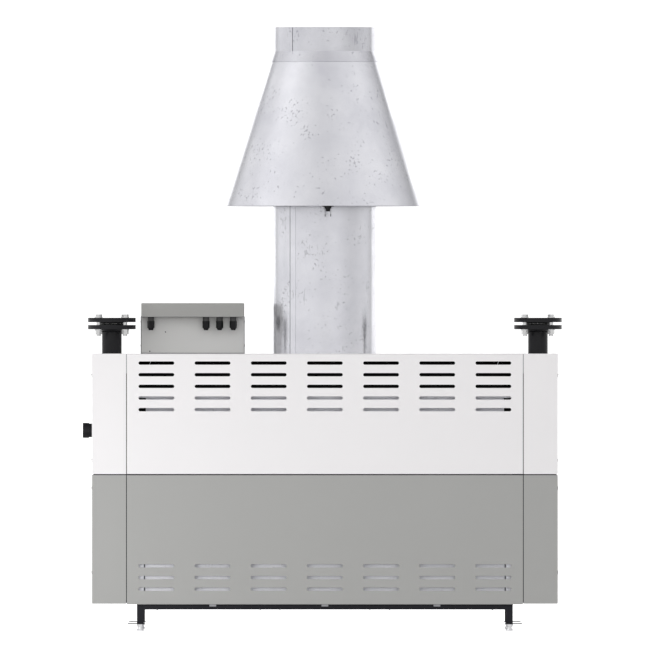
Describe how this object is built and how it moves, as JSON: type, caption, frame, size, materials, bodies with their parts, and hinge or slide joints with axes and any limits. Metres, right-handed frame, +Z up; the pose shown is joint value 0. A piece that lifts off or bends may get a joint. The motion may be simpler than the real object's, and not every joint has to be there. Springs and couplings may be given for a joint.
{
  "type": "industrial boiler",
  "caption": "Floor-standing gas boiler in a white louvred steel casing, with a draught hood on its flue, flanged water connections and a control box on top.",
  "frame": {"origin": "on the floor, at the middle of the object's box", "axes": "+Z up; the pictured louvred side faces -Y; +X to its right, so the gas inlet is on -X"},
  "size_m": [1.8585, 0.86, 2.336],
  "materials": {
    "white_panels": "satin powder coat",
    "grey_panels": "satin powder coat",
    "galvanised_sheet": "galvanised",
    "black_steel": "satin black paint",
    "collector_plate": "matt heat-resisting paint",
    "chromed_steel": "bright plated",
    "flue_sheet": "galvanised, spangled",
    "black_pipework": "satin black paint",
    "cast_header": "rough casting",
    "zinc_bolts": "zinc plated",
    "gasket_fibre": "pressed fibre",
    "grey_housing": "semi-gloss powder coat",
    "black_plastic": "moulded"
  },
  "bodies": {
    "root": {"front_upper_panel": "white_panels", "back_upper_panel": "white_panels", "left_upper_side_panel": "white_panels", "right_upper_side_panel": "white_panels", "top_panel": "white_panels", "seam_strips": "white_panels", "front_lower_panel": "grey_panels", "back_lower_panel": "grey_panels", "left_lower_side_panel": "grey_panels", "right_lower_side_panel": "grey_panels", "base_sheet": "galvanised_sheet", "burner_housing": "galvanised_sheet", "corner_uprights": "galvanised_sheet", "heat_exchanger_jacket": "galvanised_sheet", "jacket_lid": "galvanised_sheet", "panel_hooks": "galvanised_sheet", "front_rail": "black_steel", "back_rail": "black_steel", "cross_members": "black_steel", "left_front_leg": "black_steel", "right_front_leg": "black_steel", "left_back_leg": "black_steel", "right_back_leg": "black_steel", "flue_collector": "collector_plate", "levelling_feet": "chromed_steel", "flue_pipe": "flue_sheet", "draught_hood": "flue_sheet", "outlet_collar": "flue_sheet", "hood_brackets": "flue_sheet", "left_water_stub": "black_pipework", "right_water_stub": "black_pipework", "left_counter_flange": "black_pipework", "right_counter_flange": "black_pipework", "gas_connection": "black_pipework", "left_water_header": "cast_header", "right_water_header": "cast_header", "left_flange_bolts": "zinc_bolts", "right_flange_bolts": "zinc_bolts", "left_flange_gasket": "gasket_fibre", "right_flange_gasket": "gasket_fibre", "control_box": "grey_housing", "control_box_cover": "grey_housing", "gland_collars": "grey_housing", "cable_glands": "black_plastic", "spillage_thermostat": "black_plastic"}
  },
  "joints": []
}
